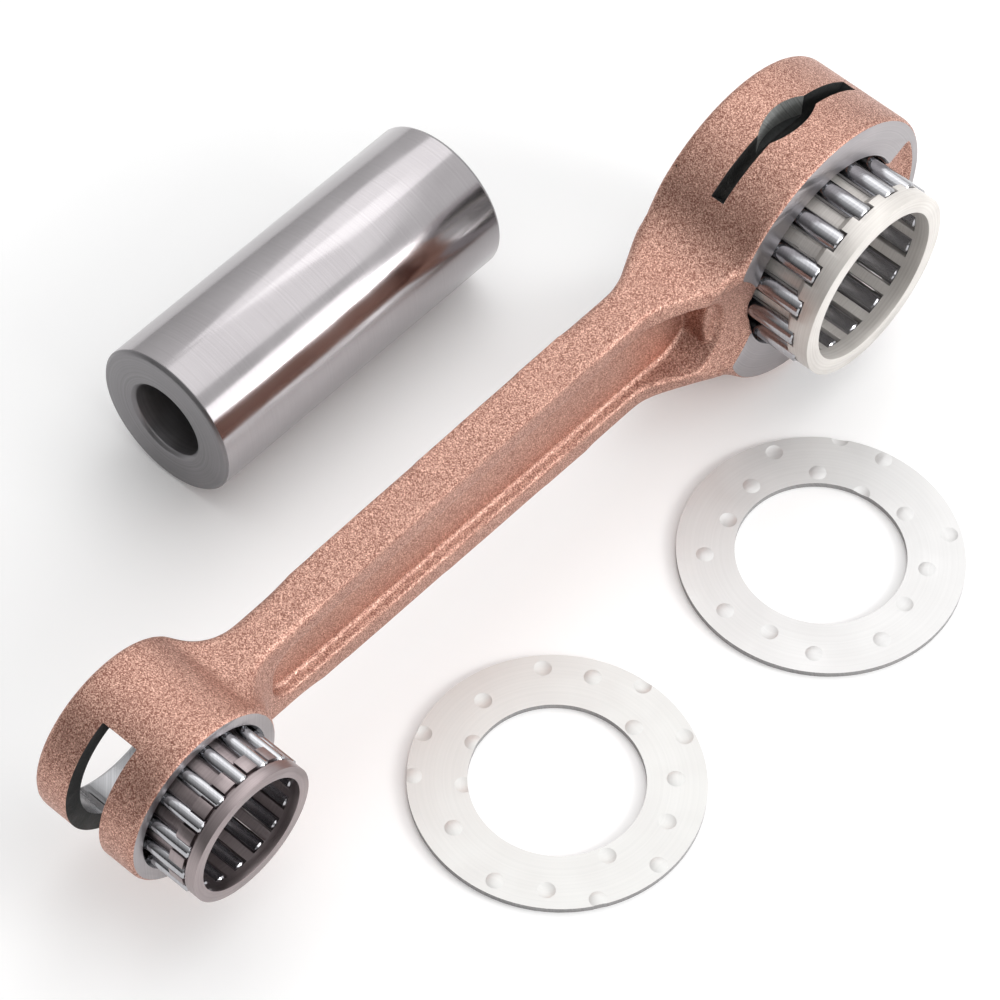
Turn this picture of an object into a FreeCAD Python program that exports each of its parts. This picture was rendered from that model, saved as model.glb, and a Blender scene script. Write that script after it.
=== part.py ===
import FreeCAD, Part
import math
import os
from FreeCAD import Vector

# Two-stroke connecting rod kit: forged rod, two caged needle bearings, crank pin and thrust washers.
# Frame, in millimetres: the origin is on the big-end bore axis, in the plane of the rod's front
# thrust face. Y runs along both bore axes and into the rod, X from the small end towards the big
# end, and Z across the shank. The rod stands on its edge, and the loose pieces lie beside it.

# --- Rod forging -------------------------------------------------------------------------------
centre_distance = 115.0        # big-end axis to small-end axis
rod_width = 16.0               # face to face, the same at both ends
big_wall = 6.0                 # wall of each end, from its bore to its rim
small_wall = 2.4
shank_thickness = 6.0
shank_half_height_big = 10.2   # half the shank's height, carried on to the big-end axis
shank_half_height_small = 7.6  # and to the small-end axis
big_neck_r = 11.0              # concave corners between the shank's edges and the two ends
small_neck_r = 4.0
big_ramp_deg = 27.0            # slope round each end, from its full width down to the shank
small_ramp_deg = 70.0
big_foot_r = 9.0               # hollow at the foot of that slope
small_foot_r = 5.5
small_face_step = 0.6          # the small end's thrust face stands out this far past its slope
rim_chamfer = 0.5
bore_chamfer = 0.4

# --- Channel in each side of the shank -----------------------------------------------------------
web_thickness = 2.8
lip_height = 3.4               # flange lip left above and below the channel
channel_draft_deg = 14.0
channel_end_big = 18.5         # distance from each bore axis at which the channel ends
channel_end_small = 17.0
channel_corner_r_big = 6.0     # rounding of its two ends, at the floor
channel_corner_r_small = 3.8

# --- Oil slots and reliefs -----------------------------------------------------------------------
big_slot_width = 2.0
big_slot_half_deg = 41.5
lens_half_length = 6.0         # lens-shaped pocket in the middle of the big-end slot
lens_half_width = 2.2
lens_depth = 4.2               # below the rim; only the thin slot goes right through
small_slot_width = 5.5
small_slot_half_deg = 63.0
scoop_centre = 24.0            # round scoop in each thrust face, towards the shank
scoop_r = 11.5
scoop_depth = 2.6
fan_half_deg = 25.0            # fan-shaped relief in each thrust face, at the far end
fan_rim = 1.4                  # flat rim left outside that hollow
fan_depth = 1.1

# --- Bearings ------------------------------------------------------------------------------------
crank_pin_r = 11.0
piston_pin_r = 8.0
big_roller_diameter = 3.0      # nominal, which sets each bore from its pin
small_roller_diameter = 2.0
roller_count = 16
roller_fit = 0.01              # radial play between the rollers and the bore
pocket_fit = 0.02              # play on each side of a roller in its pocket
pocket_end_fit = 0.1
cage_bore_fit = 0.2            # between a cage and the pin that runs through it
big_cage_fit = 0.45            # between a cage and the bore around it
small_cage_fit = 0.25
big_cage_shortfall = 0.2       # how much shorter than the rod is wide
small_cage_shortfall = 2.8
big_cage_stand_out = 8.8       # how far each bearing stands out of the rod's front face
small_cage_stand_out = 7.7
big_ring_width = 2.3
small_ring_width = 1.5
big_shoulder = 1.0             # full-height root of each bar, next to the ring
big_ramp = 1.0                 # slope from that root down to the bar's thin middle
big_bar_drop = 1.2
small_groove = 0.5             # groove between the ring and the raised block on each bar
small_block = 2.2
small_bar_drop = 0.8
cage_bar_relief = 0.15         # the bars' inner faces stand back this far from the rings' bores
big_first_roller_deg = 3.5
small_first_roller_deg = 20.0
roller_chamfer = 0.2

# --- Crank pin and thrust washers ----------------------------------------------------------------
crank_pin_length = 52.5
crank_pin_bore_r = 5.55
crank_pin_chamfer = 0.5
washer_outer_r = 18.7
washer_bore_fit = 0.15
washer_thickness = 0.8
dimple_pitch = 6.4
dimple_r = 1.15
dimple_depth = 0.2

# --- Where the loose pieces lie ------------------------------------------------------------------
pin_row_gap = 20.3             # between the rod's back face and the crank pin
pin_end_gap = 1.2              # between the big end's rim and the pin's near end, along X
washer_rim_gap = 5.6           # from the big end's rim to the middle of the first washer, along X
washer_between = 11.8
washer_row_gaps = (4.5, 2.6)   # between the rod's front face and each washer
washer_turns_deg = (12.0, 31.0)  # turn of each washer's dimple grid
washer_grid_shifts = ((-1.6, -0.1), (-3.2, -1.6))

mid_y = rod_width / 2
small_end_x = -centre_distance
big_bore_r = crank_pin_r + big_roller_diameter
small_bore_r = piston_pin_r + small_roller_diameter
big_outer_r = big_bore_r + big_wall
small_outer_r = small_bore_r + small_wall
fan_outer_r = big_outer_r - fan_rim
floor_z = -big_outer_r
big_cage_length = rod_width - big_cage_shortfall
small_cage_length = rod_width - small_cage_shortfall
washer_inner_r = crank_pin_r + washer_bore_fit


def polar(radius, degrees, x=0.0, y=0.0):
    """Point at an angle from +X towards +Z, about an axis along Y."""
    angle = math.radians(degrees)
    return Vector(x + radius * math.cos(angle), y, radius * math.sin(angle))


def disc(radius, thickness, x=0.0, y=0.0):
    return Part.makeCylinder(radius, thickness, Vector(x, y, 0), Vector(0, 1, 0))


def turned(profile, x=0.0, start_deg=0.0, sweep_deg=360.0):
    """Solid turned about an axis along Y from (radius, y) points."""
    points = [polar(radius, start_deg, x, y) for radius, y in profile]
    face = Part.Face(Part.makePolygon(points + points[:1]))
    return face.revolve(Vector(x, 0, 0), Vector(0, -1, 0), sweep_deg)


def mirrored(shape):
    """The same shape on the other side of the rod's middle plane."""
    return shape.mirror(Vector(0, mid_y, 0), Vector(0, 1, 0))


def both_faces(shape):
    return shape.fuse(mirrored(shape))


def edges_along_y(shape, at_x, within):
    """Straight edges along Y whose place along X is near at_x."""
    found = []
    for edge in shape.Edges:
        ends = [vertex.Point for vertex in edge.Vertexes]
        if len(ends) != 2 or abs(ends[0].x - ends[1].x) + abs(ends[0].z - ends[1].z) > 1e-6:
            continue
        if abs(ends[0].x - at_x) < within and abs(ends[0].z) > 1:
            found.append(edge)
    return found


def rod_plan():
    """The rod seen along the bores: two round ends joined by a tapered shank."""
    half_big, half_small = shank_half_height_big, shank_half_height_small
    corners = [(0, half_big), (small_end_x, half_small), (small_end_x, -half_small), (0, -half_big)]
    points = [Vector(x, 0, z) for x, z in corners]
    shank = Part.Face(Part.makePolygon(points + points[:1])).extrude(Vector(0, rod_width, 0))
    plan = disc(big_outer_r, rod_width).fuse([disc(small_outer_r, rod_width, small_end_x), shank])
    plan = plan.removeSplitter()
    big_meeting = -math.sqrt(big_outer_r ** 2 - half_big ** 2)
    small_meeting = small_end_x + math.sqrt(small_outer_r ** 2 - half_small ** 2)
    plan = plan.makeFillet(big_neck_r, edges_along_y(plan, big_meeting, 3))
    return plan.makeFillet(small_neck_r, edges_along_y(plan, small_meeting, 3))


def hub(outer_r, ramp_deg, foot_r, step, x):
    """Full-width round end whose skirt slopes down to the shank's flats."""
    angle = math.radians(ramp_deg)
    drop = (rod_width - shank_thickness) / 2
    fall = drop - step - foot_r * (1 - math.cos(angle))
    knee_x = x + outer_r + fall / math.tan(angle)
    foot = Vector(knee_x + foot_r * math.sin(angle), drop, 0)
    middle = foot + Vector(-foot_r * math.sin(angle / 2), foot_r * (math.cos(angle / 2) - 1), 0)
    front = [Vector(x, 0, 0), Vector(x + outer_r, 0, 0), Vector(x + outer_r, step, 0),
             Vector(knee_x, step + fall, 0)]
    if step == 0:
        front.pop(1)
    back = [Vector(p.x, rod_width - p.y, 0) for p in front]
    back_foot = Vector(foot.x, rod_width - foot.y, 0)
    back_middle = Vector(middle.x, rod_width - middle.y, 0)
    outline = [Part.makePolygon(front), Part.Arc(front[-1], middle, foot).toShape(),
               Part.makeLine(foot, back_foot),
               Part.Arc(back_foot, back_middle, back[-1]).toShape(),
               Part.makePolygon(back[::-1]), Part.makeLine(back[0], front[0])]
    edges = [edge for piece in outline for edge in piece.Edges]
    face = Part.Face(Part.Wire(Part.__sortEdges__(edges)))
    return face.revolve(front[0], Vector(0, 1, 0), 360)


def rod_blank():
    """Round ends, sweeps and shank flats, all trimmed to the rod's plan."""
    flat_y = (rod_width - shank_thickness) / 2
    flats = Part.makeBox(centre_distance, shank_thickness, 2 * big_outer_r,
                         Vector(small_end_x, flat_y, -big_outer_r))
    big_hub = hub(big_outer_r, big_ramp_deg, big_foot_r, 0.0, 0.0)
    small_hub = hub(small_outer_r, small_ramp_deg, small_foot_r, small_face_step, small_end_x)
    return rod_plan().common(flats.fuse([big_hub, small_hub])).removeSplitter()


def channel_outline(y, grow):
    """Tapered outline with rounded corners, grow wider all round, as a wire at height y."""
    big_x = -channel_end_big + grow
    small_x = small_end_x + channel_end_small - grow
    slope = (shank_half_height_big - shank_half_height_small) / centre_distance
    half_big = shank_half_height_big + slope * big_x - lip_height + grow
    half_small = shank_half_height_big + slope * small_x - lip_height + grow
    points = [(big_x, half_big), (small_x, half_small), (small_x, -half_small), (big_x, -half_big)]
    prism = Part.Face(Part.makePolygon([Vector(x, y, z) for x, z in points + points[:1]]))
    prism = prism.extrude(Vector(0, 1, 0))
    rounded = prism.makeFillet(min(channel_corner_r_big + grow, 0.95 * half_big),
                               edges_along_y(prism, big_x, 1e-3))
    rounded = rounded.makeFillet(min(channel_corner_r_small + grow, 0.95 * half_small),
                                 edges_along_y(rounded, small_x, 1e-3))
    bottom = min(rounded.Faces, key=lambda face: face.CenterOfMass.y)
    return bottom.OuterWire


def channel():
    """Hollow in the front of the shank that leaves an I-section, with drafted walls."""
    floor_y = (rod_width - web_thickness) / 2
    rise = floor_y + 1
    spread = rise * math.tan(math.radians(channel_draft_deg))
    to_lip = (web_thickness - shank_thickness) / 2 * math.tan(math.radians(channel_draft_deg))
    return Part.makeLoft([channel_outline(floor_y, to_lip), channel_outline(-1, to_lip + spread)], True)


def oil_slot_big():
    """Thin slot over the top of the big end, with a lens-shaped pocket in its middle."""
    low, high = big_bore_r - 1, big_outer_r + 1
    near, far = mid_y - big_slot_width / 2, mid_y + big_slot_width / 2
    slot = turned([(low, near), (high, near), (high, far), (low, far)], 0.0,
                  90 - big_slot_half_deg, 2 * big_slot_half_deg)
    left, right = Vector(-lens_half_length, mid_y, 0), Vector(lens_half_length, mid_y, 0)
    sides = [Part.Arc(left, Vector(0, mid_y + side * lens_half_width, 0), right) for side in (-1, 1)]
    lens = Part.Face(Part.Wire([side.toShape() for side in sides])).extrude(Vector(0, 0, high))
    lens.translate(Vector(0, 0, big_outer_r - lens_depth))
    return slot.fuse(lens)


def oil_slot_small():
    """Wide slot round the far side of the small end."""
    low, high = small_bore_r - 1, small_outer_r + 1
    near, far = mid_y - small_slot_width / 2, mid_y + small_slot_width / 2
    return turned([(low, near), (high, near), (high, far), (low, far)], small_end_x,
                  180 - small_slot_half_deg, 2 * small_slot_half_deg)


def scoop():
    """Round hollow in the thrust face where the shank joins it."""
    ball_r = (scoop_r ** 2 + scoop_depth ** 2) / (2 * scoop_depth)
    return Part.makeSphere(ball_r, Vector(-scoop_centre, scoop_depth - ball_r, 0))


def fan_relief():
    """Fan-shaped hollow in the thrust face at the far end of the rod."""
    low = big_bore_r - 1
    return turned([(low, -1), (fan_outer_r + fan_depth, -1), (fan_outer_r - fan_depth, fan_depth),
                   (low, fan_depth)], 0.0, -fan_half_deg, 2 * fan_half_deg)


def chamfered_bore(radius, x):
    edge = bore_chamfer
    return turned([(0, -1), (radius + edge + 1, -1), (radius, edge), (radius, rod_width - edge),
                   (radius + edge + 1, rod_width + 1), (0, rod_width + 1)], x)


def rim_cut(radius, x):
    """Ring that takes the sharp corner off the front rim of a round end."""
    edge = rim_chamfer
    return turned([(radius - edge - 1, -1), (radius + 1, edge + 1), (radius + 1, -1)], x)


def rod():
    body = rod_blank()
    cuts = [chamfered_bore(big_bore_r, 0.0), chamfered_bore(small_bore_r, small_end_x)]
    cuts += [both_faces(tool) for tool in (scoop(), fan_relief(), channel())]
    cuts += [both_faces(rim_cut(big_outer_r, 0.0)), both_faces(rim_cut(small_outer_r, small_end_x))]
    top_slot = oil_slot_big()
    cuts += [top_slot, top_slot.mirror(Vector(0, 0, 0), Vector(0, 0, 1)), oil_slot_small()]
    for tool in cuts:
        body = body.cut(tool)
    return body.removeSplitter()


def pockets(first_deg, pitch_r, roller_r, length, start_y, x):
    """One straight-sided window for each roller, cut right through a cage."""
    width = 2 * (roller_r + pocket_fit)
    windows = []
    for index in range(roller_count):
        window = Part.makeBox(pitch_r, length, width, Vector(pitch_r / 2, start_y, -width / 2))
        window.rotate(Vector(0, 0, 0), Vector(0, -1, 0), first_deg + index * 360 / roller_count)
        window.translate(Vector(x, 0, 0))
        windows.append(window)
    return windows


def bar_relief(inner, front, ring_width, length, x):
    """Shallow recess in a cage's bore, all along its bars."""
    near, far = front + ring_width, front + length - ring_width
    deep = inner + cage_bar_relief
    return turned([(inner - 1, near), (deep, near), (deep, far), (inner - 1, far)], x)


def big_cage():
    """Cage of M section: full-height rings and bar roots, and a thin middle to each bar."""
    inner = crank_pin_r + cage_bore_fit
    outer = big_bore_r - big_cage_fit
    front = -big_cage_stand_out
    back = front + big_cage_length
    root = big_ring_width + big_shoulder
    waist = outer - big_bar_drop
    blank = turned([(inner, front), (outer, front), (outer, front + root),
                    (waist, front + root + big_ramp), (waist, back - root - big_ramp),
                    (outer, back - root), (outer, back), (inner, back)])
    blank = blank.cut(bar_relief(inner, front, big_ring_width, big_cage_length, 0.0))
    pitch_r = (crank_pin_r + big_bore_r) / 2
    roller_r = (big_bore_r - crank_pin_r) / 2 - roller_fit
    length = big_cage_length - 2 * big_ring_width
    return blank.cut(pockets(big_first_roller_deg, pitch_r, roller_r, length,
                             front + big_ring_width, 0.0))


def small_cage():
    """Cage with a raised block on each bar near both rings, and a lower bar between them."""
    inner = piston_pin_r + cage_bore_fit
    outer = small_bore_r - small_cage_fit
    front = -small_cage_stand_out
    back = front + small_cage_length
    waist = outer - small_bar_drop
    block_start = small_ring_width + small_groove
    block_end = block_start + small_block
    profile = [(inner, front), (outer, front)]
    for radius, step in ((outer, small_ring_width), (waist, small_ring_width), (waist, block_start),
                         (outer, block_start), (outer, block_end), (waist, block_end)):
        profile.append((radius, front + step))
    for radius, step in ((waist, block_end), (outer, block_end), (outer, block_start),
                         (waist, block_start), (waist, small_ring_width), (outer, small_ring_width)):
        profile.append((radius, back - step))
    blank = turned(profile + [(outer, back), (inner, back)], small_end_x)
    blank = blank.cut(bar_relief(inner, front, small_ring_width, small_cage_length, small_end_x))
    pitch_r = (piston_pin_r + small_bore_r) / 2
    roller_r = (small_bore_r - piston_pin_r) / 2 - roller_fit
    length = small_cage_length - 2 * small_ring_width
    return blank.cut(pockets(small_first_roller_deg, pitch_r, roller_r, length,
                             front + small_ring_width, small_end_x))


def roller(radius, length, centre, y):
    """Needle roller along Y with its end corners taken off."""
    edge = roller_chamfer
    outline = [(0, 0), (radius - edge, 0), (radius, edge), (radius, length - edge),
               (radius - edge, length), (0, length)]
    needle = turned(outline)
    needle.translate(Vector(centre.x, y, centre.z))
    return needle


def roller_set(pin_r, bore_r, cage_length, ring_width, stand_out, first_deg, x):
    pitch_r = (pin_r + bore_r) / 2
    radius = (bore_r - pin_r) / 2 - roller_fit
    length = cage_length - 2 * (ring_width + pocket_end_fit)
    start_y = ring_width + pocket_end_fit - stand_out
    step = 360 / roller_count
    return [roller(radius, length, polar(pitch_r, first_deg + index * step, x), start_y)
            for index in range(roller_count)]


def crank_pin():
    """Hollow hardened pin, lying behind the rod with its axis along X."""
    outer, inner, edge, length = crank_pin_r, crank_pin_bore_r, crank_pin_chamfer, crank_pin_length
    outline = [(inner + edge, 0), (outer - edge, 0), (outer, edge), (outer, length - edge),
               (outer - edge, length), (inner + edge, length), (inner, length - edge), (inner, edge)]
    pin = turned(outline)
    pin.rotate(Vector(0, 0, 0), Vector(0, 0, 1), -90)
    far_end_x = -big_outer_r - pin_end_gap
    pin.translate(Vector(far_end_x - length, rod_width + pin_row_gap + outer, floor_z + outer))
    return pin


def thrust_washer(index):
    """Flat washer with oil dimples on a square grid, pressed from alternate sides."""
    ring = Part.makeCylinder(washer_outer_r, washer_thickness)
    ring = ring.cut(Part.makeCylinder(washer_inner_r, washer_thickness))
    ball_r = (dimple_r ** 2 + dimple_depth ** 2) / (2 * dimple_depth)
    reach = int(washer_outer_r / dimple_pitch) + 1
    shift_x, shift_y = washer_grid_shifts[index]
    dimples = []
    for column in range(-reach, reach + 1):
        for row in range(-reach, reach + 1):
            x, y = column * dimple_pitch + shift_x, row * dimple_pitch + shift_y
            if not washer_inner_r < math.hypot(x, y) < washer_outer_r:
                continue
            top = (column + row) % 2 == 0
            z = washer_thickness - dimple_depth + ball_r if top else dimple_depth - ball_r
            dimples.append(Part.makeSphere(ball_r, Vector(x, y, z)))
    ring = ring.cut(dimples)
    ring.rotate(Vector(0, 0, 0), Vector(0, 0, 1), washer_turns_deg[index])
    centre_x = -big_outer_r - washer_rim_gap - index * (2 * washer_outer_r + washer_between)
    ring.translate(Vector(centre_x, -washer_row_gaps[index] - washer_outer_r, floor_z))
    return ring


def nodes():
    made = {
        "rod": rod(),
        "big_end_cage": big_cage(),
        "small_end_cage": small_cage(),
        "crank_pin": crank_pin(),
        "thrust_washer_1": thrust_washer(0),
        "thrust_washer_2": thrust_washer(1),
    }
    big_rollers = roller_set(crank_pin_r, big_bore_r, big_cage_length, big_ring_width,
                             big_cage_stand_out, big_first_roller_deg, 0.0)
    small_rollers = roller_set(piston_pin_r, small_bore_r, small_cage_length, small_ring_width,
                               small_cage_stand_out, small_first_roller_deg, small_end_x)
    for end, rollers in (("big", big_rollers), ("small", small_rollers)):
        for number, needle in enumerate(rollers, start=1):
            made[f"{end}_end_roller_{number:02d}"] = needle
    return made


os.makedirs("parts", exist_ok=True)
for name, shape in nodes().items():
    shape.exportStep(f"parts/{name}.step")
    print(name, len(shape.Solids), "solid", round(shape.Volume, 2), "mm3", shape.isValid())
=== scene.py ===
import math

import bpy
from mathutils import Matrix, Vector


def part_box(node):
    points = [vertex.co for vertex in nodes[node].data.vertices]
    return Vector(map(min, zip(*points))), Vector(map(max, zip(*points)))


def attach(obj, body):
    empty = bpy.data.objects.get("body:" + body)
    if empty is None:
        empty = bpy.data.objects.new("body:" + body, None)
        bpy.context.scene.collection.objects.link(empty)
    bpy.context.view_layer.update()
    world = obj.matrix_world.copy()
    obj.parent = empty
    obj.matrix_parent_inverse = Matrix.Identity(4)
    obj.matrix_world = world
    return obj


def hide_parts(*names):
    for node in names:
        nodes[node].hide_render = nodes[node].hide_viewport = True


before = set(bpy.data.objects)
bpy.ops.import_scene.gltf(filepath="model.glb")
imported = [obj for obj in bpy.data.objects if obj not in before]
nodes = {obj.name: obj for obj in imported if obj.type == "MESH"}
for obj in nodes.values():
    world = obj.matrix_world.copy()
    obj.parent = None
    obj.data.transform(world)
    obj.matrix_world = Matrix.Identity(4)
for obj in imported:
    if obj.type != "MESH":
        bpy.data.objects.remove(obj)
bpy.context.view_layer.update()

# Places and sizes in metres, in the part's own frame.
ROD_WIDTH = 0.016
MIDDLE = ROD_WIDTH / 2
SMALL_END_X = -0.115
BIG_BORE_R = 0.014
SMALL_BORE_R = 0.010
BIG_RIM_R = 0.020
SMALL_RIM_R = 0.0124
PIN_SKIN_R = 0.0106
FLOOR_Z = -0.020
OVERRUN = 0.005
ROUND_SIDES = 192

# Forging: the grid that rounds its corners, the passes that smooth it, its necks and its fillings.
FORGING_GRID = 0.00042
FORGING_PASSES = 8
NECK_PASSES = 60
NECK_FADE = 0.005
LIP_FADE = 0.002
WIDTH_GAIN = 1.02
NECKS = (  # from x, to x, height of the channel's lip
    (SMALL_END_X + 0.0095, SMALL_END_X + 0.026, 0.0062),
    (-0.040, -0.0145, 0.0084),
)
FILLINGS = (  # name, radius, front, back, x
    ("slot filling", BIG_RIM_R - 0.00005, 0.003, 0.013, 0.0),
    ("bore filling", BIG_BORE_R + 0.0002, 0.0013, 0.0147, 0.0),
    ("small slot filling", SMALL_RIM_R, 0.004, 0.012, SMALL_END_X),
    ("small bore filling", SMALL_BORE_R + 0.0002, 0.0004, 0.0156, SMALL_END_X),
)

# Cuts into the forging.
CONE_OUTER = 0.0014
CONE_INNER = 0.0001
CONE_DEPTH = 0.0015
CONE_SHIFT = 0.00025
BIG_SLOT = {"low": 0.013, "high": 0.0215, "width": 0.002, "x": 0.0, "half_deg": 41.5}
SMALL_SLOT = {"low": 0.009, "high": 0.0138, "width": 0.0055, "x": SMALL_END_X, "half_deg": 63}
LENS_R = 0.00928
LENS_OFFSET = 0.00708
LENS_DEPTH = 0.010
LENS_Z = 0.0208

# Rounds left along the edges by tumbling.
CAGE_EDGE = 0.00012
PIN_EDGE = 0.00015
WASHER_EDGE = 0.00007

# Thrust washers.
WASHER_R = 0.0187
WASHER_BORE_R = 0.01115
DIMPLE_PITCH = 0.0064
DIMPLE_R = 0.00115
DIMPLE_DEPTH = 0.0002
BALL_R = (DIMPLE_R ** 2 + DIMPLE_DEPTH ** 2) / (2 * DIMPLE_DEPTH)
DIMPLE_COUNTS = range(-3, 4)
COLLAR_GAP = 0.00002

# Looks.
PIT_DEPTH = 0.00008
COPPER_STAINED = (0.24, 0.104, 0.079)
COPPER_CLEAN = (0.30, 0.139, 0.106)
# Painted glint: the bright colour put on the copper's flecks stands in for grains catching the
# light.
COPPER_PAINTED_GLINT = (0.86, 0.545, 0.435)
# Painted shade: the near-black tones for slot walls and pocket floors stand in for the darkness
# inside them.
SLOT_SHADE_DARK = (0.008, 0.009, 0.009)
SLOT_SHADE_LIGHT = (0.03, 0.032, 0.032)
LAMPS_AIM = (-0.055, 0.010, 0.0)
LAMPS = (  # name, place, width, height, watts
    ("overhead soft box", (0.12, 0.00, 0.80), 0.8, 0.8, 1.25),
    ("far soft box", (0.45, 0.36, 0.60), 0.5, 0.5, 0.7),
    ("front soft box", (0.10, -0.80, 0.40), 0.8, 0.5, 2.2),
    ("edge light", (0.31, -0.66, 0.32), 0.28, 0.18, 2.0),
)
TENT_LEAN = (0.70, 0.05, 0.71)
CAMERA_PLACE = (-0.31919, -0.20896, 0.45734)
CAMERA_RIGHT = (0.66665, -0.7446, 0.03378)
CAMERA_UP = (0.58723, 0.55259, 0.59144)
CAMERA_BACK = (-0.45905, -0.37445, 0.80564)
CAMERA_SENSOR_MM = 36.0
CAMERA_LENS_MM = 164.56


# --- Shared shader pieces ------------------------------------------------------------------------

def new_group(name, inputs, outputs):
    """Empty node group with its number sockets, and the nodes that carry them."""
    group = bpy.data.node_groups.new(name, "ShaderNodeTree")
    for label, value in inputs.items():
        socket = group.interface.new_socket(name=label, in_out="INPUT",
                                            socket_type="NodeSocketFloat")
        socket.default_value = value
    for label in outputs:
        group.interface.new_socket(name=label, in_out="OUTPUT", socket_type="NodeSocketFloat")
    return group, group.nodes.new("NodeGroupInput"), group.nodes.new("NodeGroupOutput")


def math_node(tree, operation, first, second=None):
    node = tree.nodes.new("ShaderNodeMath")
    node.operation = operation
    for socket, value in zip(node.inputs, (first, second)):
        if value is None:
            continue
        if isinstance(value, (int, float)):
            socket.default_value = value
        else:
            tree.links.new(value, socket)
    return node.outputs[0]


def scaled_coordinates(tree, scale_socket):
    """Object coordinates times a scale that comes in from outside."""
    place = tree.nodes.new("ShaderNodeTexCoord")
    stretch = tree.nodes.new("ShaderNodeVectorMath")
    stretch.operation = "SCALE"
    tree.links.new(place.outputs["Object"], stretch.inputs[0])
    tree.links.new(scale_socket, stretch.inputs["Scale"])
    return stretch.outputs[0]


def noise(tree, place, **settings):
    """Noise on given coordinates, with its own settings."""
    node = tree.nodes.new("ShaderNodeTexNoise")
    node.inputs["Scale"].default_value = 1.0
    for label, value in settings.items():
        node.inputs[label].default_value = value
    tree.links.new(place, node.inputs["Vector"])
    return node.outputs["Fac"]


def ramp(tree, source, low, high, low_value=0.0, high_value=1.0):
    node = tree.nodes.new("ShaderNodeMapRange")
    tree.links.new(source, node.inputs["Value"])
    node.inputs["From Min"].default_value = low
    node.inputs["From Max"].default_value = high
    node.inputs["To Min"].default_value = low_value
    node.inputs["To Max"].default_value = high_value
    return node.outputs[0]


def blasted_grain_group():
    """Pitted, sparkling surface left by sand blasting: grain height, flecks that carry the copper's
    painted glints, and slow stains.
    """
    group, given, result = new_group(
        "blasted grain", {"Grains per metre": 1500.0, "Stains per metre": 60.0},
        ("Grain", "Flecks", "Stains"))
    grains = scaled_coordinates(group, given.outputs["Grains per metre"])
    fine = noise(group, grains, Detail=4.0, Roughness=0.65)
    cells = group.nodes.new("ShaderNodeTexVoronoi")
    cells.inputs["Scale"].default_value = 1.6
    group.links.new(grains, cells.inputs["Vector"])
    fleck = math_node(group, "MULTIPLY", cells.outputs["Color"], fine)
    slow = noise(group, scaled_coordinates(group, given.outputs["Stains per metre"]),
                 Detail=4.0, Distortion=1.2)
    group.links.new(ramp(group, fine, 0.25, 0.75), result.inputs["Grain"])
    group.links.new(ramp(group, fleck, 0.12, 0.48), result.inputs["Flecks"])
    group.links.new(ramp(group, slow, 0.3, 0.7), result.inputs["Stains"])
    return group


def tool_marks_group():
    """Fine turning or grinding lines round the Y axis of its own coordinates, and smears."""
    group, given, result = new_group(
        "tool marks", {"Lines per metre": 6000.0, "Smears per metre": 150.0},
        ("Lines", "Smears"))
    group.interface.new_socket(name="Place", in_out="INPUT", socket_type="NodeSocketVector")
    parts = group.nodes.new("ShaderNodeSeparateXYZ")
    group.links.new(given.outputs["Place"], parts.inputs[0])
    across = math_node(group, "MULTIPLY", parts.outputs["X"], parts.outputs["X"])
    up = math_node(group, "MULTIPLY", parts.outputs["Z"], parts.outputs["Z"])
    radius = math_node(group, "SQRT", math_node(group, "ADD", across, up))
    along = math_node(group, "ADD", radius, parts.outputs["Y"])
    lines = group.nodes.new("ShaderNodeTexNoise")
    lines.noise_dimensions = "1D"
    lines.inputs["Scale"].default_value = 1.0
    lines.inputs["Detail"].default_value = 2.0
    count = math_node(group, "MULTIPLY", along, given.outputs["Lines per metre"])
    group.links.new(count, lines.inputs["W"])
    smear = noise(group, scaled_coordinates(group, given.outputs["Smears per metre"]), Detail=5.0)
    group.links.new(ramp(group, lines.outputs["Fac"], 0.3, 0.7), result.inputs["Lines"])
    group.links.new(ramp(group, smear, 0.3, 0.7), result.inputs["Smears"])
    return group


BLASTED_GRAIN = blasted_grain_group()
TOOL_MARKS = tool_marks_group()


def placed_group(tree, group, **values):
    node = tree.nodes.new("ShaderNodeGroup")
    node.node_tree = group
    for label, value in values.items():
        node.inputs[label.replace("_", " ")].default_value = value
    return node


def mix_colours(tree, factor, dark, light):
    node = tree.nodes.new("ShaderNodeMix")
    node.data_type = "RGBA"
    tree.links.new(factor, node.inputs["Factor"])
    for socket, colour in zip((node.inputs[6], node.inputs[7]), (dark, light)):
        if isinstance(colour, tuple):
            socket.default_value = colour + (1.0,)
        else:
            tree.links.new(colour, socket)
    return node.outputs[2]


def bumped(tree, shader, height, strength, distance):
    node = tree.nodes.new("ShaderNodeBump")
    node.inputs["Strength"].default_value = strength
    node.inputs["Distance"].default_value = distance
    tree.links.new(height, node.inputs["Height"])
    tree.links.new(node.outputs[0], shader.inputs["Normal"])


def new_metal(name, metallic=1.0):
    material = bpy.data.materials.new(name)
    material.use_nodes = True
    shader = material.node_tree.nodes["Principled BSDF"]
    shader.inputs["Metallic"].default_value = metallic
    return material, material.node_tree, shader


def coppered_forging():
    """Copper plating over a sand-blasted forging, with painted glints: its bright flecks are glints
    of light painted into the colour.
    """
    material, tree, shader = new_metal("coppered forging")
    grain = placed_group(tree, BLASTED_GRAIN, Grains_per_metre=5000.0, Stains_per_metre=70.0)
    dusky = mix_colours(tree, grain.outputs["Stains"], COPPER_STAINED, COPPER_CLEAN)
    # Painted glints: the flecks are mixed towards a bright glint colour that stands in for grains
    # catching the light.
    colour = mix_colours(tree, grain.outputs["Flecks"], dusky, COPPER_PAINTED_GLINT)
    tree.links.new(colour, shader.inputs["Base Color"])
    tree.links.new(ramp(tree, grain.outputs["Flecks"], 0, 1, 0.50, 0.34),
                   shader.inputs["Roughness"])
    bumped(tree, shader, grain.outputs["Grain"], 0.55, PIT_DEPTH)
    return material


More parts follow.
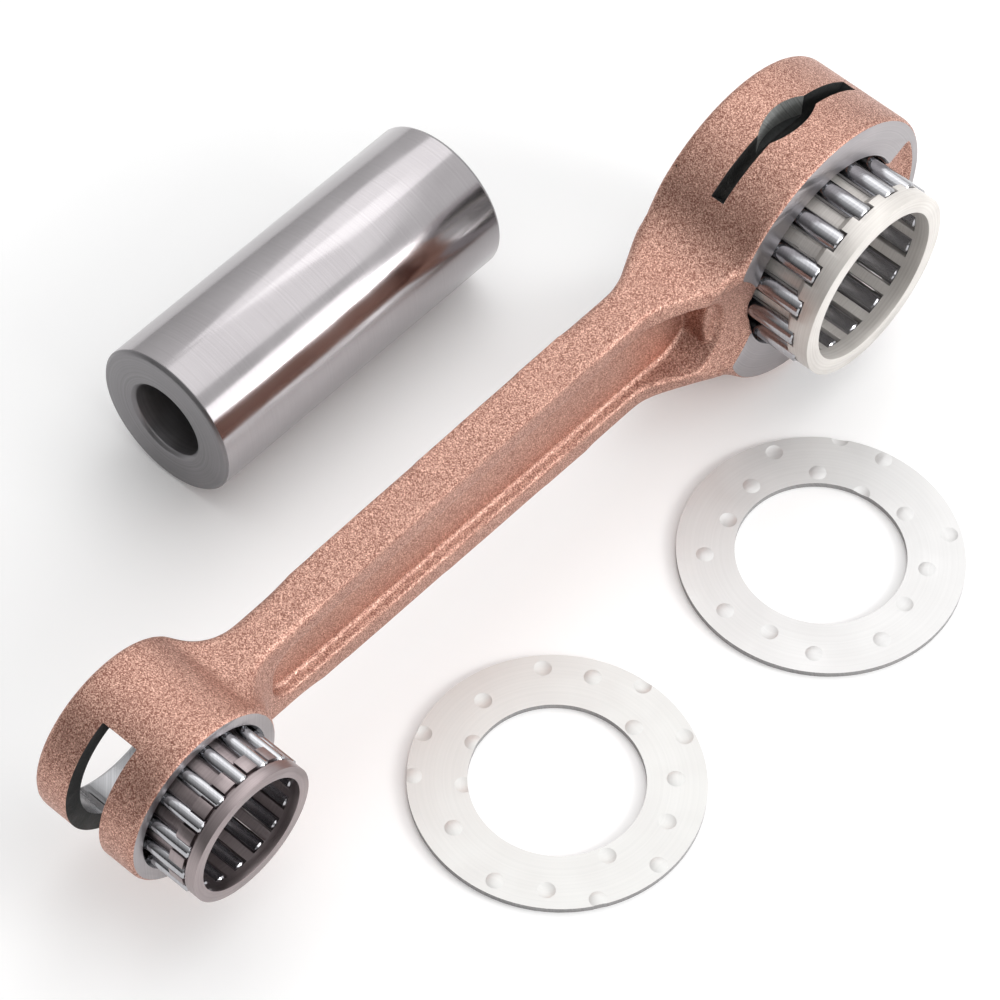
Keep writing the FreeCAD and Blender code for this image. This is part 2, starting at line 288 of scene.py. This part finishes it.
def ground_steel(name, dark, light, rough, lines, depth, metallic=1.0,
                 centre=(0, 0, 0), turn=(0, 0, 0)):
    """Metal with tool marks round an axis: two tones, a roughness and the marks' depth."""
    material, tree, shader = new_metal(name, metallic)
    coordinates = tree.nodes.new("ShaderNodeTexCoord")
    centring = tree.nodes.new("ShaderNodeMapping")
    centring.vector_type = "TEXTURE"
    centring.inputs["Location"].default_value = centre
    centring.inputs["Rotation"].default_value = turn
    tree.links.new(coordinates.outputs["Object"], centring.inputs["Vector"])
    marks = placed_group(tree, TOOL_MARKS, Lines_per_metre=lines, Smears_per_metre=160.0)
    tree.links.new(centring.outputs[0], marks.inputs["Place"])
    smeared = math_node(tree, "MULTIPLY", marks.outputs["Smears"], 0.6)
    lined = math_node(tree, "MULTIPLY", marks.outputs["Lines"], 0.4)
    total = math_node(tree, "ADD", smeared, lined)
    tree.links.new(mix_colours(tree, total, dark, light), shader.inputs["Base Color"])
    tree.links.new(ramp(tree, marks.outputs["Smears"], 0, 1, rough * 0.8, rough * 1.25),
                   shader.inputs["Roughness"])
    bumped(tree, shader, marks.outputs["Lines"], 0.5, depth)
    return material


def painted_slot_shade():
    """Painted shade: near-black walls and floors for the slots and pockets, standing in for the
    darkness seen down into them.
    """
    material, tree, shader = new_metal("painted shade in slots", 0.0)
    grain = placed_group(tree, BLASTED_GRAIN, Grains_per_metre=2500.0, Stains_per_metre=200.0)
    colour = mix_colours(tree, grain.outputs["Grain"], SLOT_SHADE_DARK, SLOT_SHADE_LIGHT)
    tree.links.new(colour, shader.inputs["Base Color"])
    tree.links.new(ramp(tree, grain.outputs["Stains"], 0, 1, 0.7, 0.5), shader.inputs["Roughness"])
    bumped(tree, shader, grain.outputs["Grain"], 0.5, PIT_DEPTH)
    return material


def middle_of(name):
    low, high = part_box(name)
    return tuple((low + high) / 2)


SMALL_AXIS = (SMALL_END_X, 0, 0)
ALONG_X = (0, 0, -math.pi / 2)
ALONG_Z = (math.pi / 2, 0, 0)
PIN_MIDDLE = middle_of("crank_pin")
finishes = {
    "copper": coppered_forging(),
    "thrust face": ground_steel(
        "ground thrust face", (0.33, 0.31, 0.32), (0.47, 0.44, 0.45),
        rough=0.36, lines=5000.0, depth=4e-6),
    "bore": ground_steel(
        "honed bore", (0.20, 0.20, 0.205), (0.34, 0.34, 0.35),
        rough=0.25, lines=3000.0, depth=3e-6),
    # Painted shade for the slot walls and pocket floors.
    "slot shade": painted_slot_shade(),
    "slot pocket": ground_steel(
        "milled slot pocket", (0.14, 0.145, 0.14), (0.46, 0.47, 0.46),
        rough=0.5, lines=4200.0, depth=4e-5, metallic=0.3, centre=(0.02, 0, 0.03)),
    "silver cage": ground_steel(
        "silvered cage", (0.60, 0.565, 0.53), (0.78, 0.75, 0.715),
        rough=0.36, lines=4000.0, depth=3e-6, metallic=0.45),
    "steel cage": ground_steel(
        "satin steel cage", (0.28, 0.235, 0.24), (0.42, 0.36, 0.36),
        rough=0.36, lines=4000.0, depth=4e-6, centre=SMALL_AXIS),
    "roller": ground_steel(
        "polished roller", (0.38, 0.38, 0.40), (0.50, 0.50, 0.52),
        rough=0.17, lines=3000.0, depth=1e-6),
    "pin": ground_steel(
        "ground crank pin", (0.38, 0.36, 0.37), (0.43, 0.41, 0.42),
        rough=0.15, lines=3500.0, depth=1e-6, centre=PIN_MIDDLE, turn=ALONG_X),
    "pin end": ground_steel(
        "turned pin end", (0.20, 0.195, 0.20), (0.30, 0.29, 0.30),
        rough=0.42, lines=3000.0, depth=6e-6, centre=PIN_MIDDLE, turn=ALONG_X),
    "washer": ground_steel(
        "silvered washer", (0.70, 0.695, 0.69), (0.76, 0.755, 0.75),
        rough=0.42, lines=2500.0, depth=2e-6, metallic=0.3,
        centre=middle_of("thrust_washer_1"), turn=ALONG_Z),
    # Painted shade: the washers' rim faces are painted dark grey to draw the dark outline that
    # shade gives their edges.
    "washer rim shade": ground_steel(
        "painted shade on washer rims", (0.26, 0.255, 0.255), (0.40, 0.39, 0.39),
        rough=0.35, lines=2500.0, depth=2e-6, metallic=0.8),
    "other washer": ground_steel(
        "other silvered washer", (0.69, 0.69, 0.675), (0.75, 0.745, 0.73),
        rough=0.42, lines=2500.0, depth=2e-6, metallic=0.3,
        centre=middle_of("thrust_washer_2"), turn=ALONG_Z),
}


def deselect_all():
    bpy.ops.object.select_all(action="DESELECT")


def take_up(piece):
    """Makes one piece the only one selected, and active."""
    deselect_all()
    piece.select_set(True)
    bpy.context.view_layer.objects.active = piece


def settle(piece):
    """Puts a piece's place into its mesh, so its object sits unturned at the origin."""
    piece.data.transform(piece.matrix_world)
    piece.matrix_world = Matrix.Identity(4)


def work(piece, kind, **settings):
    """Adds one modifier to a piece and applies it."""
    take_up(piece)
    modifier = piece.modifiers.new(kind.lower(), kind)
    for label, value in settings.items():
        setattr(modifier, label, value)
    bpy.ops.object.modifier_apply(modifier=modifier.name)


def dress(piece, *chosen):
    """Gives a piece its finishes, in the order of its material slots."""
    piece.data.materials.clear()
    for finish in chosen:
        piece.data.materials.append(finishes[finish])
    return piece


def merged_copy(name, new_name):
    """A CAD piece's shape as one joined-up mesh, ready to be worked on."""
    piece = bpy.data.objects.new(new_name, nodes[name].data.copy())
    bpy.context.scene.collection.objects.link(piece)
    take_up(piece)
    bpy.ops.mesh.customdata_custom_splitnormals_clear()
    bpy.ops.object.mode_set(mode="EDIT")
    bpy.ops.mesh.select_all(action="SELECT")
    bpy.ops.mesh.remove_doubles(threshold=1e-6)
    bpy.ops.object.mode_set(mode="OBJECT")
    return piece


def stand_for(piece, name):
    """Puts a piece in a CAD node's place, on that node's body."""
    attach(piece, name)
    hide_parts(name)


# --- Rod: a rounded forging, then machined -------------------------------------------------------

def drum(name, radius, front, back, x=0.0):
    """Cylinder along Y, from one height to another."""
    deselect_all()
    bpy.ops.mesh.primitive_cylinder_add(vertices=ROUND_SIDES, radius=radius,
                                        depth=back - front,
                                        location=(x, (front + back) / 2, 0),
                                        rotation=(math.pi / 2, 0, 0))
    piece = bpy.context.object
    piece.name = name
    settle(piece)
    return piece


def join(pieces):
    deselect_all()
    for piece in pieces:
        piece.select_set(True)
    bpy.context.view_layer.objects.active = pieces[0]
    bpy.ops.object.join()
    return pieces[0]


def even_out_necks(blank):
    """Works both necks smooth, fading out at their ends and short of the channel's lips."""
    necks = blank.vertex_groups.new(name="necks")
    for vertex in blank.data.vertices:
        for start, stop, lip in NECKS:
            lengthways = min(vertex.co.x - start, stop - vertex.co.x) / NECK_FADE
            weight = min(lengthways, (abs(vertex.co.z) - lip) / LIP_FADE, 1.0)
            if weight > 0:
                necks.add([vertex.index], weight, "REPLACE")
    work(blank, "SMOOTH", factor=0.5, iterations=NECK_PASSES, vertex_group="necks")


def forging_blank():
    """The rod as it leaves the dies: no bores or slots yet, and every corner rounded."""
    blank = merged_copy("rod", "rod_forging")
    for filling in [drum(*row) for row in FILLINGS]:
        work(blank, "BOOLEAN", object=filling, operation="UNION", solver="EXACT")
        bpy.data.objects.remove(filling)
    take_up(blank)
    blank.data.remesh_voxel_size = FORGING_GRID
    bpy.ops.object.voxel_remesh()
    work(blank, "SMOOTH", factor=0.5, iterations=FORGING_PASSES)
    even_out_necks(blank)
    bpy.ops.object.mode_set(mode="EDIT")
    bpy.ops.mesh.select_all(action="SELECT")
    bpy.ops.transform.resize(value=(1, WIDTH_GAIN, 1), center_override=(0, MIDDLE, 0))
    bpy.ops.object.mode_set(mode="OBJECT")
    dress(blank, "copper")
    return blank


def countersinks():
    """Four cones, one for each end of each bore."""
    cones = []
    for radius, x in ((BIG_BORE_R, 0.0), (SMALL_BORE_R, SMALL_END_X)):
        for face, inward in ((0.0, 1), (ROD_WIDTH, -1)):
            deselect_all()
            bpy.ops.mesh.primitive_cone_add(vertices=ROUND_SIDES, radius1=radius + CONE_OUTER,
                                            radius2=radius - CONE_INNER, depth=CONE_DEPTH,
                                            rotation=(-inward * math.pi / 2, 0, 0),
                                            location=(x, face - inward * CONE_SHIFT, 0))
            cones.append(bpy.context.object)
            settle(cones[-1])
    return join(cones)


def ring_cutter(name, low, high, width, x, middle_deg, half_deg):
    """Arched slot cutter: a rectangle swept round a bore axis."""
    deselect_all()
    bpy.ops.mesh.primitive_plane_add(size=1.0)
    cutter = bpy.context.object
    cutter.name = name
    start = math.radians(middle_deg - half_deg)
    out = Vector((math.cos(start), 0, math.sin(start)))
    across = Vector((0, 1, 0))
    for vertex, (side, end) in zip(cutter.data.vertices, ((-1, 0), (1, 0), (-1, 1), (1, 1))):
        reach = high if end else low
        vertex.co = Vector((x, MIDDLE, 0)) + out * reach + across * side * width / 2
    bpy.ops.object.mode_set(mode="EDIT")
    bpy.ops.mesh.select_all(action="SELECT")
    bpy.ops.mesh.spin(steps=80, angle=2 * math.radians(half_deg), center=(x, 0, 0), axis=(0, 1, 0))
    bpy.ops.mesh.select_all(action="SELECT")
    bpy.ops.mesh.remove_doubles(threshold=1e-7)
    bpy.ops.mesh.normals_make_consistent(inside=False)
    bpy.ops.object.mode_set(mode="OBJECT")
    return cutter


def lens_cutters():
    """Pointed oval cutters for the pockets: each is where two drums along Z overlap."""
    lenses = []
    for side in (1, -1):
        drums = []
        for offset in (-LENS_OFFSET, LENS_OFFSET):
            deselect_all()
            bpy.ops.mesh.primitive_cylinder_add(vertices=256, radius=LENS_R, depth=LENS_DEPTH,
                                                location=(0, MIDDLE + offset, side * LENS_Z))
            drums.append(bpy.context.object)
            settle(drums[-1])
        work(drums[0], "BOOLEAN", object=drums[1], operation="INTERSECT", solver="EXACT")
        bpy.data.objects.remove(drums[1])
        lenses.append(drums[0])
    cutter = join(lenses)
    # The pockets' flat floors get the painted shade, near-black; their curved walls keep the milled
    # finish.
    dress(cutter, "slot pocket", "slot shade")
    for face in cutter.data.polygons:
        if abs(face.normal.z) > 0.9:
            face.material_index = 1
    return cutter


def facing_cutters():
    """Two blocks that take both thrust faces down to the rod's width."""
    cutters = []
    for y in (-OVERRUN, ROD_WIDTH + OVERRUN):
        deselect_all()
        bpy.ops.mesh.primitive_cube_add(size=1.0, location=(-0.055, y, 0))
        bpy.context.object.dimensions = (0.2, 2 * OVERRUN, 0.06)
        bpy.context.view_layer.update()
        cutters.append(bpy.context.object)
        settle(cutters[-1])
    return join(cutters)


def cut(piece, cutter):
    """Takes a cutter's shape out of a piece; the walls it leaves wear the cutter's finish."""
    work(piece, "BOOLEAN", object=cutter, operation="DIFFERENCE", solver="EXACT",
         material_mode="TRANSFER", use_hole_tolerant=True)
    bpy.data.objects.remove(cutter)


def machined_rod():
    """Rounded forging with its faces, bores and oil slots cut sharp."""
    rod = forging_blank()
    cut(rod, dress(facing_cutters(), "thrust face"))
    drills = [drum("big drill", BIG_BORE_R, -OVERRUN, ROD_WIDTH + OVERRUN),
              drum("small drill", SMALL_BORE_R, -OVERRUN, ROD_WIDTH + OVERRUN, SMALL_END_X)]
    cut(rod, dress(join(drills), "bore"))
    cut(rod, dress(countersinks(), "bore"))
    cut(rod, lens_cutters())
    slots = [ring_cutter("oil slot", middle_deg=90, **BIG_SLOT),
             ring_cutter("lower oil slot", middle_deg=-90, **BIG_SLOT),
             ring_cutter("small oil slot", middle_deg=180, **SMALL_SLOT)]
    # The oil slots' walls get the painted shade, near-black like the darkness down in them.
    cut(rod, dress(join(slots), "slot shade"))
    take_up(rod)
    bpy.ops.object.shade_smooth_by_angle(angle=math.radians(38))
    return rod


rod = machined_rod()
stand_for(rod, "rod")

# --- Cages and pin: the CAD shapes with their edges broken ---------------------------------------

def broken_edges(piece, width, smooth_to=32):
    """Small round along every sharp edge, as a tumbled and plated piece has."""
    take_up(piece)
    bpy.ops.object.mode_set(mode="EDIT")
    bpy.ops.mesh.select_all(action="SELECT")
    bpy.ops.mesh.dissolve_limited(angle_limit=math.radians(0.5))
    bpy.ops.object.mode_set(mode="OBJECT")
    work(piece, "BEVEL", width=width, segments=2, limit_method="ANGLE",
         angle_limit=math.radians(40), use_clamp_overlap=True)
    bpy.ops.object.shade_smooth_by_angle(angle=math.radians(smooth_to))


for name, finish, slot in (("big_end_cage", "silver cage", "silvered_cage"),
                           ("small_end_cage", "steel cage", "steel_cage")):
    cage = merged_copy(name, name + "_plated")
    dress(cage, finish)
    broken_edges(cage, CAGE_EDGE)
    stand_for(cage, name)


def worn_pin():
    """Crank pin, polished round its outside and matt at its ends and in its bore."""
    pin = merged_copy("crank_pin", "ground_crank_pin")
    dress(pin, "pin", "pin end")
    middle = Vector(PIN_MIDDLE)
    for face in pin.data.polygons:
        out = face.center - middle
        out.x = 0
        face.material_index = 0 if out.length > PIN_SKIN_R and abs(face.normal.x) < 0.5 else 1
    broken_edges(pin, PIN_EDGE)
    return pin


stand_for(worn_pin(), "crank_pin")

# --- Thrust washers: made anew, with the bumps that their dimples leave --------------------------

def upright_drum(centre, radius, bottom, top):
    """Cylinder along Z, from one height to another."""
    deselect_all()
    bpy.ops.mesh.primitive_cylinder_add(vertices=ROUND_SIDES, radius=radius, depth=top - bottom,
                                        location=(centre.x, centre.y, (bottom + top) / 2))
    settle(bpy.context.object)
    return bpy.context.object


def flat_ring(centre, bore_r, rim_r, bottom, top):
    ring = upright_drum(centre, rim_r, bottom, top)
    cut(ring, upright_drum(centre, bore_r, bottom - 0.001, top + 0.001))
    return ring


def pressing_balls(spots, middle_z):
    """Balls of a press tool, one over each spot."""
    balls = []
    for spot in spots:
        deselect_all()
        bpy.ops.mesh.primitive_uv_sphere_add(segments=32, ring_count=72, radius=BALL_R,
                                             location=(spot.x, spot.y, middle_z))
        balls.append(bpy.context.object)
        settle(balls[-1])
    return join(balls)


def pressed_washer(name, finish, shift, turn):
    """Flat ring with dimples pressed down and up by turns, which leave a bump on the other face."""
    low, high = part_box(name)
    centre = (low + high) / 2
    downs, ups = [], []
    for column in DIMPLE_COUNTS:
        for row in DIMPLE_COUNTS:
            spot = Vector((column * DIMPLE_PITCH + shift[0], row * DIMPLE_PITCH + shift[1], 0))
            if WASHER_BORE_R < spot.length < WASHER_R:
                spot.rotate(Matrix.Rotation(math.radians(turn), 3, "Z"))
                (ups if (column + row) % 2 else downs).append(spot + centre)
    washer = flat_ring(centre, WASHER_BORE_R, WASHER_R, low.z, high.z)
    washer.name = name + "_pressed"
    bumps = pressing_balls(ups, high.z + DIMPLE_DEPTH - BALL_R)
    collar = flat_ring(centre, WASHER_BORE_R + COLLAR_GAP, WASHER_R - COLLAR_GAP,
                       high.z - 0.0003, high.z + 0.001)
    work(bumps, "BOOLEAN", object=collar, operation="INTERSECT", solver="EXACT")
    bpy.data.objects.remove(collar)
    work(washer, "BOOLEAN", object=bumps, operation="UNION", solver="EXACT")
    bpy.data.objects.remove(bumps)
    cut(washer, join([pressing_balls(downs, high.z - DIMPLE_DEPTH + BALL_R),
                      pressing_balls(ups, low.z + DIMPLE_DEPTH - BALL_R)]))
    # The rim faces get the painted shade; the flat and dimpled faces keep the silvered finish.
    dress(washer, finish, "washer rim shade")
    broken_edges(washer, WASHER_EDGE, smooth_to=12)
    for face in washer.data.polygons:
        face.material_index = 1 if abs(face.normal.z) < 0.8 else 0
    return washer


for name, finish, shift, turn in (("thrust_washer_1", "washer", (-0.0016, -0.0001), 12),
                                  ("thrust_washer_2", "other washer", (-0.0032, -0.0016), 31)):
    stand_for(pressed_washer(name, finish, shift, turn), name)

# The rollers stay as they are, polished.
for name, node in nodes.items():
    if "roller" in name:
        node.data.materials[0] = finishes["roller"]


# --- Floor, light and camera ---------------------------------------------------------------------

def lay_floor():
    deselect_all()
    bpy.ops.mesh.primitive_plane_add(size=6.0, location=(0, 0, FLOOR_Z))
    floor = bpy.context.object
    floor.name = "floor"
    settle(floor)
    material = bpy.data.materials.new("white table")
    material.use_nodes = True
    shader = material.node_tree.nodes["Principled BSDF"]
    shader.inputs["Base Color"].default_value = (0.93, 0.93, 0.93, 1)
    shader.inputs["Roughness"].default_value = 0.9
    shader.inputs["Emission Color"].default_value = (1, 1, 1, 1)
    shader.inputs["Emission Strength"].default_value = 0.10
    floor.data.materials.append(material)


def hang_lamp(name, place, width, height, power):
    lamp = bpy.data.lights.new(name, "AREA")
    lamp.shape = "RECTANGLE"
    lamp.size = width
    lamp.size_y = height
    lamp.energy = power
    holder = bpy.data.objects.new(name, lamp)
    holder.location = place
    holder.rotation_euler = (Vector(LAMPS_AIM) - Vector(place)).to_track_quat("-Z", "Y").to_euler()
    bpy.context.scene.collection.objects.link(holder)


lay_floor()
for row in LAMPS:
    hang_lamp(*row)


def light_tent():
    """Even white surround, a little dimmer towards the small end."""
    tent = bpy.context.scene.world or bpy.data.worlds.new("light tent")
    bpy.context.scene.world = tent
    tent.use_nodes = True
    tree = tent.node_tree
    place = tree.nodes.new("ShaderNodeTexCoord")
    lean = tree.nodes.new("ShaderNodeVectorMath")
    lean.operation = "DOT_PRODUCT"
    lean.inputs[1].default_value = TENT_LEAN
    tree.links.new(place.outputs["Generated"], lean.inputs[0])
    tree.links.new(ramp(tree, lean.outputs["Value"], -0.5, 0.85, 0.06, 1.0),
                   tree.nodes["Background"].inputs["Strength"])
    tree.nodes["Background"].inputs["Color"].default_value = (1, 1, 1, 1)


light_tent()
bpy.context.scene.view_settings.view_transform = "Standard"

camera = bpy.data.objects.new("camera", bpy.data.cameras.new("camera"))
bpy.context.scene.collection.objects.link(camera)
camera.data.sensor_width = CAMERA_SENSOR_MM
camera.data.lens = CAMERA_LENS_MM
camera.data.clip_start = 0.05
facing = Matrix((CAMERA_RIGHT, CAMERA_UP, CAMERA_BACK)).transposed().to_4x4()
camera.matrix_world = Matrix.Translation(CAMERA_PLACE) @ facing
bpy.context.scene.camera = camera
